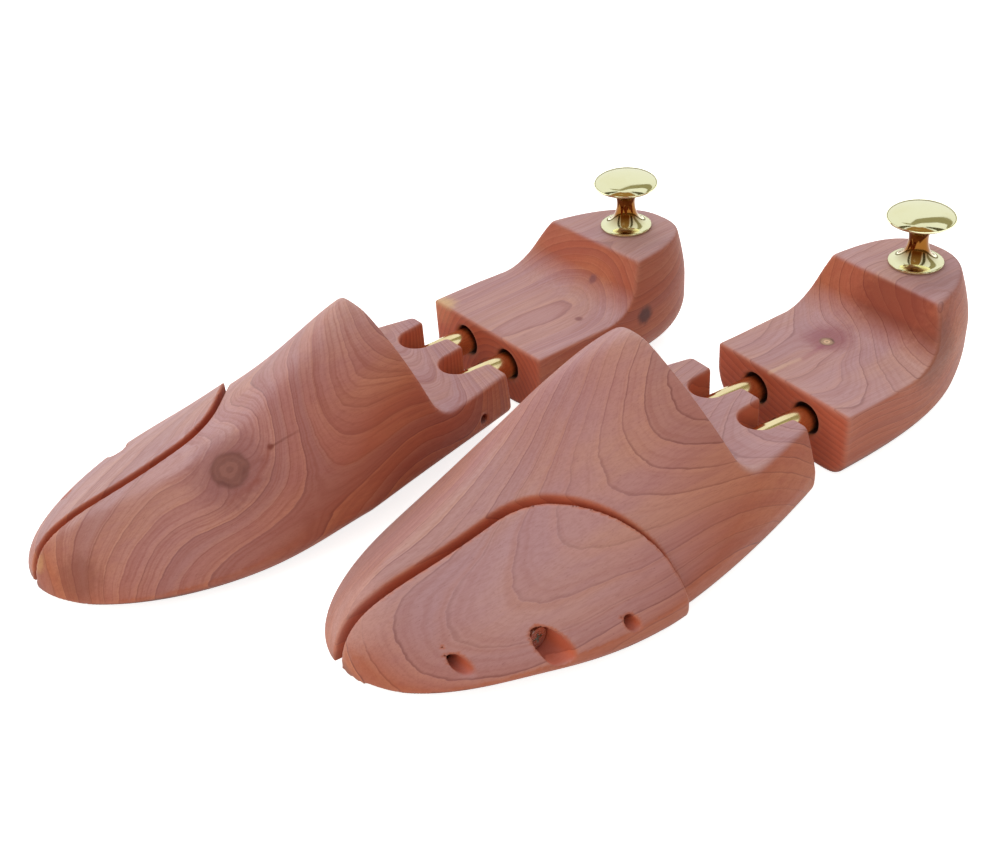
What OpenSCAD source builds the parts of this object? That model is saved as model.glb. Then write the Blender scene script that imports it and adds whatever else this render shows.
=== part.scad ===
// A pair of sprung cedar shoe trees: left and right, mirror images of each other.
// One tree is written in its own frame: the heel block's front face is y = 0, the toe points to -Y,
// the outer (lateral) side of a left shoe is +X, and the floor is z = 0.

/* [Pair] */
// How far the right tree stands to the side of the left one
pair_gap_x = 100; // [96:1:160]
// How far the right tree stands ahead of the left one
pair_step_y = 62.5; // [0:0.5:90]
// Turn of the right tree as it lies beside the left one, in degrees
pair_yaw = 4.5; // [0:0.5:8]

/* [Forepart] */
// Toe tip, measured forward from the heel block's front face
toe_reach = 190.5; // [175:0.5:215]
// Sideways place of the toe tip
toe_x = 5; // [0:0.5:8]
// Half width of the ball on the outer side
ball_outer = 53; // [48:0.5:60]
// Half width of the ball on the inner side
ball_inner = 47.5; // [40:0.5:50]
// Distance forward to the widest place of the outer side
ball_outer_reach = 100.5; // [90:0.5:110]
// Distance forward to the widest place of the inner side
ball_inner_reach = 88; // [80:0.5:100]
// Height of the instep
instep_h = 70; // [60:0.5:76]
// Height of the ball
ball_h = 43.5; // [38:0.5:50]
// Height of the toe box
toe_box_h = 28.5; // [26:0.5:34]
// Lift of the sole at the toe tip
toe_spring = 8; // [3:0.5:11]
// Height of the widest level
side_level = 11; // [8:0.5:15]

/* [Tab] */
// Half width of the tab at the rear of the forepart
tab_half_w = 33.5; // [31:0.5:38]
// Height of the tab's top
tab_h = 27.5; // [26:0.5:32]
// Gap between the tab and the heel block at rest
tab_gap = 14.5; // [14.5:0.5:22]
// Radius of the notch over each tube
notch_r = 7.3; // [6.8:0.1:8]
// Half width of the notch at its mouth
notch_mouth = 8.2; // [8:0.1:9]
// Depth of the notch
notch_len = 16; // [13:0.5:18]
// Distance forward to the crest of the instep cut
crest_reach = 66.5; // [62:0.5:74]

/* [Toe wing] */
// Sideways place of the straight part of the split
split_x = 4.8; // [2:0.2:8]
// Distance forward at which the split starts to curve out
split_bend_reach = 132; // [128:0.5:136]
// Gap left in the straight part of the split when the wing is pushed in
split_gap = 0.3; // [0.2:0.1:0.8]
// Gap left at the rear of the split when the wing is pushed in
split_rear_gap = 1; // [0.9:0.1:1.4]
// Travel of the wing on its pins
wing_travel = 3.2; // [2:0.1:4.5]
// Direction in which the wing slides, in degrees back from straight out
wing_dir = 10; // [6:1:12]
// Height of the wing's pins and screw
wing_pin_z = 13; // [12:0.5:15]
// Distance forward of the wing's screw at the split
wing_screw_reach = 146; // [142:0.5:150]
// Spacing of the guide pins from the screw
wing_pin_pitch = 23.5; // [21:0.5:26]
// Radius of the guide pins
guide_pin_r = 3; // [2:0.1:3.2]
// Radius of the counterbore for the screw head
counterbore_r = 6; // [5:0.1:6.5]
// Radius of the wing screw's shank
wing_screw_r = 2; // [1.5:0.1:2.4]

/* [Tubes] */
// Distance between the two tubes
tube_pitch = 25.8; // [25:0.2:29]
// Height of the tubes
tube_z = 16.4; // [15:0.2:18]
// Outer radius of the tubes
tube_r = 5.2; // [4.6:0.1:5.4]
// Wall of the tubes
tube_wall = 0.6; // [0.4:0.1:1]
// Radius of the bores for the tubes
bore_r = 6.4; // [6.2:0.1:6.6]
// Distance forward to the hinge pin
hinge_reach = 30; // [29:0.5:32]
// Radius of the hinge pin
hinge_pin_r = 2; // [1.5:0.1:2.2]

/* [Heel block] */
// Length of the heel block
heel_len = 92.5; // [88:0.5:104]
// Half width of the heel block at its front
heel_half_w = 33.2; // [32:0.2:38]
// Height of the heel block's front
heel_front_h = 27; // [26:0.5:31]
// Height of the heel block's top
heel_top_h = 47; // [44:0.5:54]
// Distance from the front face to the top's front edge
heel_top_setback = 55.5; // [52:0.5:57]
// Distance from the front face to the knob
knob_y = 73.1; // [70:0.1:75]
// Depth of the tube bores in the heel block
bore_depth = 72; // [60:1:75]

/* [Knob] */
// Height of the knob
knob_h = 23.5; // [20:0.5:30]
// Radius of the knob's cap
knob_cap_r = 13; // [11:0.5:15]
// Radius of the knob's foot
knob_foot_r = 10.4; // [8:0.2:11]
// Radius of the knob's waist
knob_waist_r = 3.7; // [3.5:0.1:5]

/* [Hidden] */
$fn = 48;

cedar = [0.66, 0.42, 0.35];
brass = [0.80, 0.62, 0.25];
steel = [0.62, 0.62, 0.64];

big = 400;              // past every side of a tree
running = 0.05;         // radial clearance of a shaft that slides or turns
seated = 0.02;          // radial clearance of a piece pressed into wood
apart = 0.3;            // air between faces of pieces that move apart

// ---- Curves ----

function mix(a, b, t) = a + (b - a) * t;

// Smooth curve through [place, value] knots, with the place rising
function knot_slope(k, i) =
    let (a = max(i - 1, 0), b = min(i + 1, len(k) - 1))
    (k[b][1] - k[a][1]) / (k[b][0] - k[a][0]);
function hermite(v0, v1, m0, m1, t) =
    v0 * (1 + 2 * t) * pow(1 - t, 2) + m0 * t * pow(1 - t, 2)
    + v1 * t * t * (3 - 2 * t) - m1 * t * t * (1 - t);
function curve(k, s, i = 0) =
    (i < len(k) - 2 && s > k[i + 1][0]) ? curve(k, s, i + 1)
    : let (w = k[i + 1][0] - k[i][0], t = max(0, min(1, (s - k[i][0]) / w)))
      hermite(k[i][1], k[i + 1][1], knot_slope(k, i) * w, knot_slope(k, i + 1) * w, t);

// Signed power, for the corners of superellipses
function spow(v, e) = sign(v) * pow(abs(v), e);

// ---- Forepart form ----
// s is the distance forward from the heel block's front face, so y = -s.

ball_reach = (ball_outer_reach + ball_inner_reach) / 2;
instep_reach = 62;
toe_box_reach = toe_reach - 20;
sole_flat_reach = 130;      // the sole is flat up to here
fullness_waist = 1.47;      // how fast the sides draw in from the ball to the tab
fullness_waist_inner = 1.1;

toe_end = toe_reach + 0.3;  // where the rounded toe would close; its tip is a little blunt

function side_outer(s) = s > ball_outer_reach
    ? toe_x + (ball_outer - toe_x)
        * sqrt(1 - pow((s - ball_outer_reach) / (toe_end - ball_outer_reach), 2))
    : ball_outer - (ball_outer - tab_half_w)
        * pow((ball_outer_reach - s) / (ball_outer_reach - tab_gap), fullness_waist);
function side_inner(s) = s > ball_inner_reach
    ? -toe_x + (ball_inner + toe_x)
        * sqrt(1 - pow((s - ball_inner_reach) / (toe_end - ball_inner_reach), 2))
    : ball_inner - (ball_inner - tab_half_w)
        * pow((ball_inner_reach - s) / (ball_inner_reach - tab_gap), fullness_waist_inner);

// Place of the ridge across the forepart
function ridge_x(s) = curve([[tab_gap, -2], [instep_reach, -6], [ball_reach, -14.5],
    [150, -6.5], [toe_reach, toe_x]], s);
// Height of the ridge before the toe closes
function ridge_h(s) = curve([[tab_gap, instep_h + 3], [instep_reach, instep_h], [90, mix(ball_h, instep_h, 0.56)],
    [115, ball_h], [140, mix(toe_box_h, ball_h, 0.41)], [toe_box_reach, toe_box_h],
    [toe_reach, toe_box_h - 2]], s);
close_start = toe_reach - 40;
function toe_close(s) = sqrt(1 - pow(max(0, s - close_start) / (toe_end - close_start), 4));
function sole_z(s) = toe_spring * pow(max(0, s - sole_flat_reach) / (toe_reach - sole_flat_reach), 2);
sole_flat = 0.6;            // planed off the rounded sole, so that it rests flat
tip_level = 6;
function level_outer(s) = curve([[tab_gap, side_level], [sole_flat_reach, side_level],
    [toe_reach, tip_level]], s);
arch_level = side_level + 2.5;
function level_inner(s) = curve([[tab_gap, arch_level], [90, arch_level],
    [sole_flat_reach, side_level - 1], [toe_reach, tip_level]], s);

// Fullness of a section: 2 is an ellipse, more is squarer, less is leaner
full_outer = 1.23;
function full_inner(s) = curve([[tab_gap, 1.65], [instep_reach, 1.65], [90, 1.25], [115, 1.25],
    [150, 1.1], [toe_reach, 1.1]], s);
function full_sole_outer(s) = curve([[tab_gap, 4.3], [110, 4.3], [150, 2.15], [toe_reach, 2.15]], s);
function full_sole_inner(s) = curve([[tab_gap, 1.5], [90, 1.5], [sole_flat_reach, 2.3], [toe_reach, 2.3]], s);

ring_steps = 40;
function ring(s) = [
    for (i = [0 : ring_steps - 1])
        let (t = 360 * i / ring_steps, c = cos(t), v = sin(t), outer = c >= 0, upper = v >= 0,
            x0 = ridge_x(s), w = outer ? side_outer(s) - x0 : side_inner(s) + x0,
            level = outer ? level_outer(s) : level_inner(s), shut = toe_close(s),
            h = upper ? (ridge_h(s) - level) * shut : (level - sole_z(s) + sole_flat) * shut,
            f = upper ? (outer ? full_outer : full_inner(s))
                : (outer ? full_sole_outer(s) : full_sole_inner(s)))
        [x0 + w * spow(c, 2 / f), -s, level + h * spow(v, 2 / f)]
];

body_rings = 24;
toe_rings = 12;
toe_start = toe_reach - 25;
stations = concat(
    [for (i = [0 : body_rings - 1]) mix(tab_gap, toe_start, i / body_rings)],
    [for (i = [0 : toe_rings]) mix(toe_start, toe_reach, sin(90 * i / toe_rings))]);

// A closed skin over rings of equal length, with flat ends
module skin(rings) {
    n = len(rings[0]);
    m = len(rings);
    polyhedron(
        points = [for (r = rings) each r],
        faces = concat(
            [[for (i = [0 : n - 1]) i]],
            [for (j = [0 : m - 2], i = [0 : n - 1])
                each [[j * n + i, (j + 1) * n + i, j * n + (i + 1) % n],
                    [(j + 1) * n + i, (j + 1) * n + (i + 1) % n, j * n + (i + 1) % n]]],
            [[for (i = [n - 1 : -1 : 0]) (m - 1) * n + i]]),
        convexity = 10);
}

module forepart_form() {
    difference() {
        skin([for (s = stations) ring(s)]);
        translate([-big / 2, -big, -big]) cube(big);
    }
}

// ---- The split between the forepart block and the toe wing ----

bend_r = [28, 80, 28];      // radii of the split's arcs
bend_end = [44, 66, 92];    // heading at the end of each arc, in degrees from +Y to +X
arc_steps = 8;
function arc_points(from, heading, r, to_heading, steps) = [
    for (i = [1 : steps]) let (a = mix(heading, to_heading, i / steps))
        from + r * [cos(heading) - cos(a), sin(a) - sin(heading)]
];
split_first = arc_points([split_x, -split_bend_reach], 0, bend_r[0], bend_end[0], arc_steps);
split_second = arc_points(split_first[arc_steps - 1], bend_end[0], bend_r[1], bend_end[1], arc_steps);
split_third = arc_points(split_second[arc_steps - 1], bend_end[1], bend_r[2], bend_end[2], arc_steps);
split_end = split_third[arc_steps - 1];
split_line = concat([[split_x, -big]], [[split_x, -split_bend_reach]],
    split_first, split_second, split_third,
    [split_end + 60 * [sin(bend_end[2]), cos(bend_end[2])]]);

slide_out = [cos(wing_dir), sin(wing_dir), 0];
wing_shift = wing_travel * slide_out;

// The region on the wing's side of the split
module wing_side() {
    translate([0, 0, -10])
        linear_extrude(height = instep_h + 40)
            polygon(concat(split_line, [[big, -big]]));
}

// Along the wing's slide: z runs out of the split at a given reach
module on_wing_axis(reach) {
    translate([split_x, -reach, wing_pin_z])
        rotate([0, 90, wing_dir])
            children();
}

function pin_reach(i) = wing_screw_reach + i * wing_pin_pitch / cos(wing_dir);

pin_in_block = 14;          // how far a guide pin is driven into the block
pin_in_wing = 20;           // how far it reaches past the split
screw_head_r = 3.6;
screw_head_h = 2.4;
screw_head_out = 34;        // underside of the screw head, out from the split
screw_in_block = 16;
spring_pocket_r = 5;
spring_pocket_depth = 8;
wing_wire = 0.5;

// ---- Tubes and what holds them ----

tube_x = tube_pitch / 2;
tube_ahead = 4.5;                           // tube past the hinge pin
tube_front = hinge_reach + tube_ahead;
pocket_reach = tube_front + 2;
mouth_recess = 5;
bushing_len = 10;
bushing_back = mouth_recess + bushing_len;
stop_flange = 3;
tube_back = bushing_back + apart;
spigot_len = 8;
coil_wire = 0.6;

module at_tube(side) {
    translate([side * tube_x, 0, tube_z]) children();
}

// A cylinder along Y from y0 to y1
module rod_y(r, y0, y1) {
    translate([0, y1, 0]) rotate([90, 0, 0]) cylinder(r = r, h = y1 - y0);
}

// A cylinder along X from x0 to x1
module rod_x(r, x0, x1) {
    translate([x0, 0, 0]) rotate([0, 90, 0]) cylinder(r = r, h = x1 - x0);
}

// ---- Instep cut ----

cut_slope = 74;             // steepness of the cut's face
crest_r = 5.5;
valley_r = 10;
crest_z = instep_h - crest_r;
crest_tangent = [crest_reach - crest_r * sin(cut_slope), crest_z + crest_r * cos(cut_slope)];
valley_end_z = tab_h + valley_r * (1 - cos(cut_slope));
valley_end_s = crest_tangent[0] - (crest_tangent[1] - valley_end_z) / tan(cut_slope);
valley_s = valley_end_s - valley_r * sin(cut_slope);

instep_cut_outline = concat(
    [[-10, tab_h], [-10, big]],
    [[crest_reach + 12, big], [crest_reach + 12, instep_h]],
    [for (i = [0 : arc_steps]) let (a = cut_slope * i / arc_steps)
        [crest_reach - crest_r * sin(a), crest_z + crest_r * cos(a)]],
    [for (i = [arc_steps : -1 : 0]) let (a = cut_slope * i / arc_steps)
        [valley_s + valley_r * sin(a), tab_h + valley_r * (1 - cos(a))]]);

module instep_cut() {
    rotate([90, 0, -90])
        translate([0, 0, -big / 2])
            linear_extrude(height = big)
                polygon(instep_cut_outline);
}

module tube_notch(side) {
    centre_s = tab_gap + notch_len - notch_r;
    translate([side * tube_x, 0, tube_z - bore_r])
        linear_extrude(height = tab_h)
            union() {
                translate([0, -centre_s]) circle(r = notch_r);
                polygon([[-notch_r, -centre_s], [notch_r, -centre_s],
                    [notch_mouth, -tab_gap + 1], [-notch_mouth, -tab_gap + 1]]);
            }
}

pin_inner_end = -tab_half_w + 4;
pin_outer_end = tube_x + 10;

// ---- Pieces of one tree ----

module forepart_block() {
    color(cedar)
        difference() {
            forepart_form();
            translate([-split_gap, split_rear_gap, 0]) wing_side();
            instep_cut();
            for (side = [-1, 1]) {
                tube_notch(side);
                at_tube(side) rod_y(bore_r, -pocket_reach, -tab_gap + 1);
            }
            translate([0, -hinge_reach, tube_z]) rod_x(hinge_pin_r + seated, -big, pin_outer_end);
            for (i = [-1, 1])
                on_wing_axis(pin_reach(i))
                    translate([0, 0, -pin_in_block]) cylinder(r = guide_pin_r + seated, h = 40);
            on_wing_axis(wing_screw_reach) {
                translate([0, 0, -screw_in_block]) cylinder(r = wing_screw_r + seated, h = 40);
                translate([0, 0, -spring_pocket_depth]) cylinder(r = spring_pocket_r, h = 40);
            }
        }
}

module toe_wing() {
    color(cedar)
        difference() {
            translate(wing_shift)
                intersection() {
                    forepart_form();
                    wing_side();
                }
            for (i = [-1, 1])
                on_wing_axis(pin_reach(i)) cylinder(r = guide_pin_r + running, h = 80);
            on_wing_axis(wing_screw_reach) {
                cylinder(r = wing_screw_r + 0.2, h = 80);
                cylinder(r = spring_pocket_r, h = wing_travel + spring_pocket_depth);
                translate([0, 0, screw_head_out]) cylinder(r = counterbore_r, h = 80);
            }
        }
}

module guide_pin(i) {
    color(steel)
        on_wing_axis(pin_reach(i))
            translate([0, 0, -pin_in_block])
                cylinder(r = guide_pin_r, h = pin_in_block + pin_in_wing);
}

module wing_screw() {
    color(steel)
        on_wing_axis(wing_screw_reach)
            difference() {
                union() {
                    translate([0, 0, -screw_in_block])
                        cylinder(r = wing_screw_r, h = screw_in_block + screw_head_out);
                    translate([0, 0, screw_head_out]) cylinder(r = screw_head_r, h = screw_head_h);
                }
                // cross recess
                for (a = [0, 90])
                    translate([0, 0, screw_head_out + screw_head_h])
                        rotate(a) cube([3.6, 0.9, 2.4], center = true);
            }
}

// A helix of round wire along z, from z = 0 to z = length
module coil(r, wire, length, turns, steps = 10) {
    count = turns * steps;
    sides = 6;
    skin([for (j = [0 : count]) let (a = 360 * j / steps, z = mix(wire, length - wire, j / count))
        [for (i = [0 : sides - 1]) let (b = 360 * i / sides, q = r + wire * cos(b))
            [q * cos(a), q * sin(a), z - wire * sin(b)]]]);
}

module wing_spring() {
    color(steel)
        on_wing_axis(wing_screw_reach)
            translate([0, 0, -spring_pocket_depth])
                coil(spring_pocket_r - wing_wire - 0.3, wing_wire,
                    2 * spring_pocket_depth + wing_travel, 6);
}

module hinge_pin() {
    color(steel)
        translate([0, -hinge_reach, tube_z])
            rod_x(hinge_pin_r, pin_inner_end, pin_outer_end);
}

module tube(side) {
    color(brass)
        at_tube(side)
            difference() {
                rod_y(tube_r, -tube_front, tube_back);
                rod_y(tube_r - tube_wall, -tube_front - 1, tube_back + 1);
                translate([0, -hinge_reach, 0])
                    rod_x(hinge_pin_r + running, -tube_r - 1, tube_r + 1);
            }
}

module tube_stop(side) {
    color(steel)
        at_tube(side) {
            rod_y(bore_r - 0.1, tube_back, tube_back + stop_flange);
            rod_y(tube_r - tube_wall, tube_back - spigot_len, tube_back);
        }
}

module bushing(side) {
    color(brass)
        at_tube(side)
            difference() {
                rod_y(bore_r - seated, mouth_recess, bushing_back);
                rod_y(tube_r + running, mouth_recess - 1, bushing_back + 1);
            }
}

module heel_spring(side) {
    spring_start = tube_back + stop_flange;
    color(steel)
        at_tube(side)
            translate([0, spring_start, 0])
                rotate([-90, 0, 0])
                    coil(bore_r - coil_wire - 0.4, coil_wire, bore_depth - spring_start, 9);
}

// ---- Heel block ----

heel_corner_outer = 8.5;    // rounding under the outer side
heel_corner_inner = 18;     // rounding under the inner side
heel_corner_back = 20;      // rounding under the back
heel_waist_z = 28;          // the sides lean in above this
heel_lean_outer = 6.5;      // how far the outer side leans in at the top
heel_lean_inner = 4.5;
heel_lean_back = 2.5;
heel_full = 3.8;            // fullness of the plan towards the back
heel_square = 2.5;          // fullness of the plan across
heel_bow = 7.7;             // how far the back bends towards the inner side

function round_under(z, r) = z >= r ? 0 : r - sqrt(max(0, r * r - pow(r - z, 2)));
function lean_in(z, most) = most * pow(max(0, z - heel_waist_z) / (heel_top_h - heel_waist_z), 1.6);

heel_steps = 30;
function heel_ring(z) = [
    for (i = [0 : heel_steps])
        let (t = 180 * i / heel_steps, outer = t <= 90,
            w = outer ? heel_half_w - round_under(z, heel_corner_outer) - lean_in(z, heel_lean_outer)
                : heel_half_w - round_under(z, heel_corner_inner) - lean_in(z, heel_lean_inner),
            back = heel_len - round_under(z, heel_corner_back) - lean_in(z, heel_lean_back))
        [w * spow(cos(t), 2 / heel_square) - heel_bow * pow(sin(t), 4 / heel_full),
            back * pow(sin(t), 2 / heel_full), z]
];
heel_levels = concat(
    [for (i = [0 : 6]) heel_corner_inner * (1 - cos(90 * i / 6))],
    [for (i = [1 : 12]) mix(heel_corner_inner, heel_top_h, i / 12)]);

module heel_form() {
    skin([for (z = heel_levels) heel_ring(z)]);
}

cove_r = 17.5;
cove_slope = 65;            // steepness where the cove meets the top's front edge
cove_end = [heel_top_setback - (heel_top_h - heel_front_h - cove_r * (1 - cos(cove_slope))) / tan(cove_slope),
    heel_front_h + cove_r * (1 - cos(cove_slope))];
cove_start_y = cove_end[0] - cove_r * sin(cove_slope);
cove_outline = concat(
    [[-10, heel_front_h]],
    [for (i = [0 : arc_steps]) let (a = cove_slope * i / arc_steps)
        [cove_start_y + cove_r * sin(a), heel_front_h + cove_r * (1 - cos(a))]],
    [[heel_top_setback, heel_top_h], [heel_top_setback, big], [-10, big]]);

module cove_cut() {
    rotate([90, 0, 90])
        translate([0, 0, -big / 2])
            linear_extrude(height = big)
                polygon(cove_outline);
}

knob_x = -4.3;
stud_r = 2.5;
stud_in_wood = 16;
stud_in_knob = 12;

module heel_block() {
    color(cedar)
        difference() {
            heel_form();
            cove_cut();
            for (side = [-1, 1])
                at_tube(side) rod_y(bore_r, -1, bore_depth);
            translate([knob_x, knob_y, heel_top_h - stud_in_wood])
                cylinder(r = stud_r + seated, h = stud_in_wood + 1);
        }
}

foot_rim = 1.2;
cap_rim_z = knob_h - 4.6;
knob_profile = concat(
    [[0, 0], [knob_foot_r, 0], [knob_foot_r, foot_rim]],
    [for (i = [1 : 8]) let (a = 90 * i / 8)
        [knob_foot_r - (knob_foot_r - knob_waist_r) * sin(a), foot_rim + 9.5 * (1 - cos(a))]],
    [for (i = [1 : 4]) let (a = 90 * i / 4)
        [knob_waist_r + 3 * (1 - cos(a)), foot_rim + 9.5 + 5 * sin(a)]],
    [[knob_cap_r - 1, cap_rim_z - 0.8], [knob_cap_r, cap_rim_z]],
    [for (i = [1 : 7]) let (a = 90 * i / 7)
        [knob_cap_r * cos(a), cap_rim_z + (knob_h - cap_rim_z) * sin(a)]]);

module knob() {
    color(brass)
        translate([knob_x, knob_y, heel_top_h])
            difference() {
                rotate_extrude() polygon(knob_profile);
                translate([0, 0, -1]) cylinder(r = stud_r + seated, h = stud_in_knob + 1);
            }
}

module knob_stud() {
    color(steel)
        translate([knob_x, knob_y, heel_top_h - stud_in_wood])
            cylinder(r = stud_r, h = stud_in_wood + stud_in_knob);
}

// ---- The pair ----

// Plan outlines, for the pair's own centre
wing_start_s = -split_end[1];
outer_side = [for (s = stations)
    [side_outer(s), -s] + (s > wing_start_s ? [wing_shift[0], wing_shift[1]] : [0, 0])];
inner_side = [for (s = stations) [-side_inner(s), -s]];
tree_plan = concat(outer_side, inner_side, [[toe_x, -toe_reach], [0, heel_len]]);
right_plan = [for (p = tree_plan)
    [-pair_gap_x - p[0] * cos(pair_yaw) - p[1] * sin(pair_yaw),
        -pair_step_y - p[0] * sin(pair_yaw) + p[1] * cos(pair_yaw)]];
plan = concat(tree_plan, right_plan);
plan_x = [for (p = plan) p[0]];
plan_y = [for (p = plan) p[1]];
pair_centre = [(min(plan_x) + max(plan_x)) / 2, (min(plan_y) + max(plan_y)) / 2, 0];

module left() {
    translate(-pair_centre) children();
}

module right() {
    translate([-pair_gap_x, -pair_step_y, 0] - pair_centre)
        rotate(pair_yaw)
            mirror([1, 0, 0])
                children();
}

left() forepart_block();  // left_forepart_block
left() toe_wing();  // left_toe_wing
left() guide_pin(1);  // left_front_guide_pin
left() guide_pin(-1);  // left_rear_guide_pin
left() wing_screw();  // left_wing_screw
left() wing_spring();  // left_wing_spring
left() hinge_pin();  // left_hinge_pin
left() tube(-1);  // left_inner_tube
left() tube(1);  // left_outer_tube
left() tube_stop(-1);  // left_inner_tube_stop
left() tube_stop(1);  // left_outer_tube_stop
left() bushing(-1);  // left_inner_bushing
left() bushing(1);  // left_outer_bushing
left() heel_spring(-1);  // left_inner_spring
left() heel_spring(1);  // left_outer_spring
left() heel_block();  // left_heel_block
left() knob();  // left_knob
left() knob_stud();  // left_knob_stud

right() forepart_block();  // right_forepart_block
right() toe_wing();  // right_toe_wing
right() guide_pin(1);  // right_front_guide_pin
right() guide_pin(-1);  // right_rear_guide_pin
right() wing_screw();  // right_wing_screw
right() wing_spring();  // right_wing_spring
right() hinge_pin();  // right_hinge_pin
right() tube(-1);  // right_inner_tube
right() tube(1);  // right_outer_tube
right() tube_stop(-1);  // right_inner_tube_stop
right() tube_stop(1);  // right_outer_tube_stop
right() bushing(-1);  // right_inner_bushing
right() bushing(1);  // right_outer_bushing
right() heel_spring(-1);  // right_inner_spring
right() heel_spring(1);  // right_outer_spring
right() heel_block();  // right_heel_block
right() knob();  // right_knob
right() knob_stud();  // right_knob_stud
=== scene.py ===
"""A pair of sprung cedar shoe trees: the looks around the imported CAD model.

The wooden pieces are solid fields on a grid, cut and sanded as fields, then turned into meshes.
One tree is written in millimetres in its own frame: y = 0 is the heel block's front face, the toe
points to -Y, +X is the outer side of a left shoe, and the floor is z = 0.
"""

import math

import bpy
import numpy as np
from mathutils import Matrix, Vector

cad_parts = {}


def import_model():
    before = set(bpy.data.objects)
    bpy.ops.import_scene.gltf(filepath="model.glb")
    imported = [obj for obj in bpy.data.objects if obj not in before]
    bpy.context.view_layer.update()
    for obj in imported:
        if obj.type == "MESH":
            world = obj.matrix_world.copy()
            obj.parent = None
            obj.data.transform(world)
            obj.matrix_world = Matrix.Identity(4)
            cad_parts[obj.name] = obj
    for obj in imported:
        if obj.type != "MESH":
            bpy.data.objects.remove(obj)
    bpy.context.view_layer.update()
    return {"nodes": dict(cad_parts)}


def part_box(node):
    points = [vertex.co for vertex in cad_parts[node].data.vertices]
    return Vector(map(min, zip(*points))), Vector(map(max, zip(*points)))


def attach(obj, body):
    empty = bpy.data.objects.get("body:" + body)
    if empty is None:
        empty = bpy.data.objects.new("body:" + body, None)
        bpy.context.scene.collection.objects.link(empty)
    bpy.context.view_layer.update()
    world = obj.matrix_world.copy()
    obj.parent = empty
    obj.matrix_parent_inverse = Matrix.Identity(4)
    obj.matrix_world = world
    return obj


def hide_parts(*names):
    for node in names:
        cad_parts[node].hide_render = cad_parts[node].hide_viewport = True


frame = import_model()

# ---- Values shared with part.scad ----

PAIR_YAW = 4.5
TOE_REACH, TOE_X, TOE_SPRING = 190.5, 5.0, 8.0
BALL_OUTER, BALL_INNER = 53.0, 47.5
BALL_OUTER_REACH, BALL_INNER_REACH = 100.5, 88.0
INSTEP_H, BALL_H, TOE_BOX_H = 70.0, 43.5, 28.5
INSTEP_REACH, TOE_BOX_REACH, SOLE_FLAT_REACH = 62.0, TOE_REACH - 20, 130.0
BALL_REACH = (BALL_OUTER_REACH + BALL_INNER_REACH) / 2
TOE_END, CLOSE_START = TOE_REACH + 0.3, TOE_REACH - 40
FULLNESS_WAIST, FULLNESS_WAIST_INNER, SOLE_FLAT = 1.47, 1.1, 0.6
SIDE_LEVEL, TIP_LEVEL = 11.0, 6.0
ARCH_LEVEL = SIDE_LEVEL + 2.5
TAB_HALF_W, TAB_H, TAB_GAP = 33.5, 27.5, 14.5
NOTCH_R, NOTCH_MOUTH, NOTCH_LEN = 7.3, 8.2, 16.0
CREST_REACH, CREST_R, VALLEY_R, CUT_SLOPE = 66.5, 5.5, 10.0, math.radians(74)
SPLIT_X, SPLIT_BEND_REACH = 4.8, 132.0
SPLIT_BENDS = ((28, 44), (80, 66), (28, 92))   # radius, and heading at the end in degrees
SPLIT_GAP, SPLIT_REAR_GAP = 0.3, 1.0
WING_TRAVEL, WING_DIR, WING_PIN_Z = 3.2, math.radians(10), 13.0
WING_SCREW_REACH, WING_PIN_PITCH = 146.0, 23.5
GUIDE_PIN_R, PIN_IN_WING, SCREW_HEAD_OUT = 3.0, 20.0, 34.0
SPRING_POCKET_R, SPRING_POCKET_DEPTH = 5.0, 8.0
TUBE_PITCH, TUBE_Z, TUBE_R, TUBE_WALL, BORE_R = 25.8, 16.4, 5.2, 0.6, 6.4
HINGE_REACH, HINGE_PIN_R = 30.0, 2.0
TUBE_FRONT, POCKET_REACH, TUBE_BACK = 34.5, 36.5, 15.3
HEEL_LEN, HEEL_HALF_W, HEEL_FRONT_H, HEEL_TOP_H = 92.5, 33.2, 27.0, 47.0
HEEL_TOP_SETBACK, BORE_DEPTH = 55.5, 72.0
HEEL_CORNER_OUTER, HEEL_CORNER_INNER, HEEL_CORNER_BACK = 8.5, 18.0, 20.0
HEEL_WAIST_Z, HEEL_LEAN_OUTER, HEEL_LEAN_INNER, HEEL_LEAN_BACK = 28.0, 6.5, 4.5, 2.5
HEEL_FULL, HEEL_SQUARE, HEEL_BOW = 3.8, 2.5, 7.7
COVE_R, COVE_SLOPE = 17.5, math.radians(65)
KNOB_X, KNOB_Y, KNOB_H = -4.3, 73.1, 23.5
KNOB_CAP_R, KNOB_FOOT_R, KNOB_WAIST_R = 13.0, 10.4, 3.7

# ---- Values of the scene alone ----

PIN_MOUTH_R, SCREW_MOUTH_R = 2.15, 4.4   # the holes in a wing narrow to this at its skin
FINE = 1.0        # how coarse the grids are
MIN_SLOPE = 0.004                        # keeps a field's distance finite where the field is flat
CROWN_PASSES, CROWN_PULL = 36, 0.6       # how long and how hard a forepart's crown is sanded
PUSH_SPREAD = 13.0                       # how wide a push in the growth rings reaches

# ---- Where the two trees lie ----

YAW = math.radians(PAIR_YAW)
TURNS = {"left": Matrix.Identity(3),
         "right": Matrix(((-math.cos(YAW), -math.sin(YAW), 0),
                          (-math.sin(YAW), math.cos(YAW), 0), (0, 0, 1)))}


def origin_of(side):
    """A tree's origin on the floor in millimetres, worked out from where its knob stands."""
    low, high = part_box(f"{side}_knob")
    origin = (low + high) / 2 * 1000 - TURNS[side] @ Vector((KNOB_X, KNOB_Y, 0))
    origin.z = 0
    return origin


ORIGINS = {side: origin_of(side) for side in TURNS}


def placed(side):
    """Matrix from one tree's own millimetres to the frame that both share, in metres."""
    return Matrix.Scale(0.001, 4) @ Matrix.Translation(ORIGINS[side]) @ TURNS[side].to_4x4()


def add_object(name, data):
    made = bpy.data.objects.new(name, data)
    bpy.context.scene.collection.objects.link(made)
    return made


# ---- Camera ----

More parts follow.
